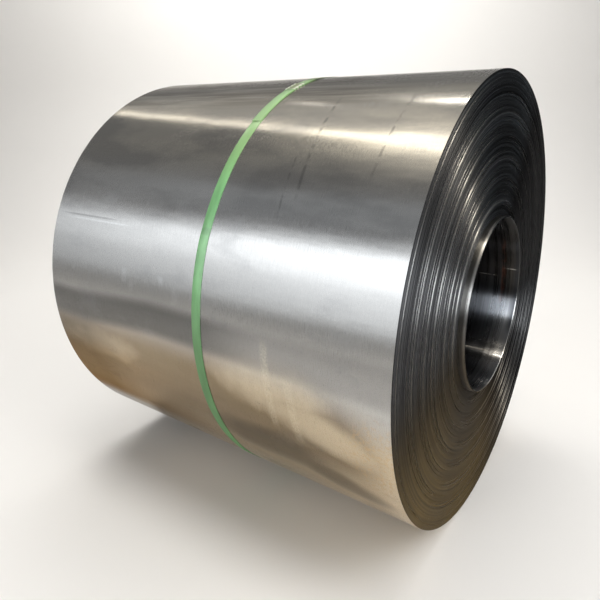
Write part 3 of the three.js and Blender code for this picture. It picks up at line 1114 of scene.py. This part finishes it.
def studio_floor(colour):
    """The floor and backdrop as one smooth sheet of quads."""
    points = backdrop_points()
    rows, columns = points.shape[:2]
    i, j = np.meshgrid(np.arange(rows - 1), np.arange(columns - 1), indexing="ij")
    first = i * columns + j
    quads = np.stack((first + 1, first + columns + 1, first + columns, first), -1)
    mesh = bpy.data.meshes.new("studio_floor")
    mesh.from_pydata(points.reshape(-1, 3).tolist(), [], quads.reshape(-1, 4).tolist())
    mesh.polygons.foreach_set("use_smooth", np.ones(len(mesh.polygons), bool))
    mesh.materials.append(stage_material(colour))
    return add_object("studio_floor", mesh)


class COIL_OT_stage(bpy.types.Operator):
    """Make the floor with its backdrop, the softboxes and the camera"""

    bl_idname = "steel_coil.stage"
    bl_label = "Stage"

    def execute(self, context):
        scene = context.scene
        stage = scene.coil_stage
        floor = studio_floor(stage.floor_colour)
        softboxes(stage)

        scene.world = bpy.data.worlds.new("Surround")
        scene.world.use_nodes = True
        feed(scene.world.node_tree.nodes["Background"].inputs,
             {"Color": (1.0, 1.0, 1.0), "Strength": stage.surround})

        data = bpy.data.cameras.new("view")
        data.lens, data.sensor_width = CAMERA_LENS, SENSOR_WIDTH
        data.shift_x, data.shift_y = CAMERA_SHIFT
        scene.camera = add_object("view", data)
        scene.camera.location = CAMERA_PLACE
        scene.camera.rotation_euler = np.radians(CAMERA_TURN)
        scene.view_settings.view_transform = "Standard"
        return {"FINISHED"}


# ------------------------------------------------------------------ pieces


class COIL_OT_coil(bpy.types.Operator):
    """Make the coil of strip with its stepped ends and bore"""

    bl_idname = "steel_coil.coil"
    bl_label = "Coil"

    def execute(self, context):
        points, slots = coil_points(context.scene.coil_sizes)
        makers = (barrel_material, end_material, bore_material, turn_material)
        materials = [make(context.scene.coil_finish) for make in makers]
        piece = grid_object("strip_coil", points, materials, slots)
        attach(piece, BODY)
        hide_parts("coil")
        return {"FINISHED"}


class COIL_OT_strap(bpy.types.Operator):
    """Make the plastic strap with its overlapped ends"""

    bl_idname = "steel_coil.strap"
    bl_label = "Strap"

    def execute(self, context):
        sizes = context.scene.coil_strap
        points = strap_points(sizes, context.scene.coil_sizes.outer_radius)
        piece = grid_object("green_strap", points, [strap_material(sizes)])
        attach(piece, BODY)
        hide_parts("strap")
        return {"FINISHED"}


class COIL_OT_seal(bpy.types.Operator):
    """Make the crimped seal over the strap's ends"""

    bl_idname = "steel_coil.seal"
    bl_label = "Seal"

    def execute(self, context):
        scene = context.scene
        points = seal_points(scene.coil_seal, scene.coil_strap, scene.coil_sizes.outer_radius)
        piece = grid_object("crimped_seal", points, [seal_material(scene.coil_seal)])
        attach(piece, BODY)
        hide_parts("strap_seal")
        return {"FINISHED"}


class COIL_PT_panel(bpy.types.Panel):
    """Lists the coil's pieces and its stage"""

    bl_idname = "COIL_PT_panel"
    bl_label = "Steel Coil"
    bl_space_type = "VIEW_3D"
    bl_region_type = "UI"
    bl_category = "Steel Coil"

    def draw(self, context):
        for operator in OPERATORS:
            self.layout.operator(operator.bl_idname)


GROUPS = {
    "coil_sizes": SteelCoilSizes,
    "coil_strap": StrapSizes,
    "coil_seal": SealSizes,
    "coil_finish": CoilFinish,
    "coil_stage": StageSizes,
}
OPERATORS = (COIL_OT_coil, COIL_OT_strap, COIL_OT_seal, COIL_OT_stage)
CLASSES = (*GROUPS.values(), *OPERATORS, COIL_PT_panel)


def register():
    """Registers the classes and gives the scene their properties."""
    for made in CLASSES:
        bpy.utils.register_class(made)
    for name, made in GROUPS.items():
        setattr(bpy.types.Scene, name, bpy.props.PointerProperty(type=made))


def unregister():
    """Takes both away again."""
    for name in GROUPS:
        delattr(bpy.types.Scene, name)
    for made in reversed(CLASSES):
        bpy.utils.unregister_class(made)


def main():
    """Makes the pieces and the stage."""
    register()
    bpy.ops.steel_coil.coil()
    bpy.ops.steel_coil.strap()
    bpy.ops.steel_coil.seal()
    bpy.ops.steel_coil.stage()


if __name__ == "__main__":
    main()
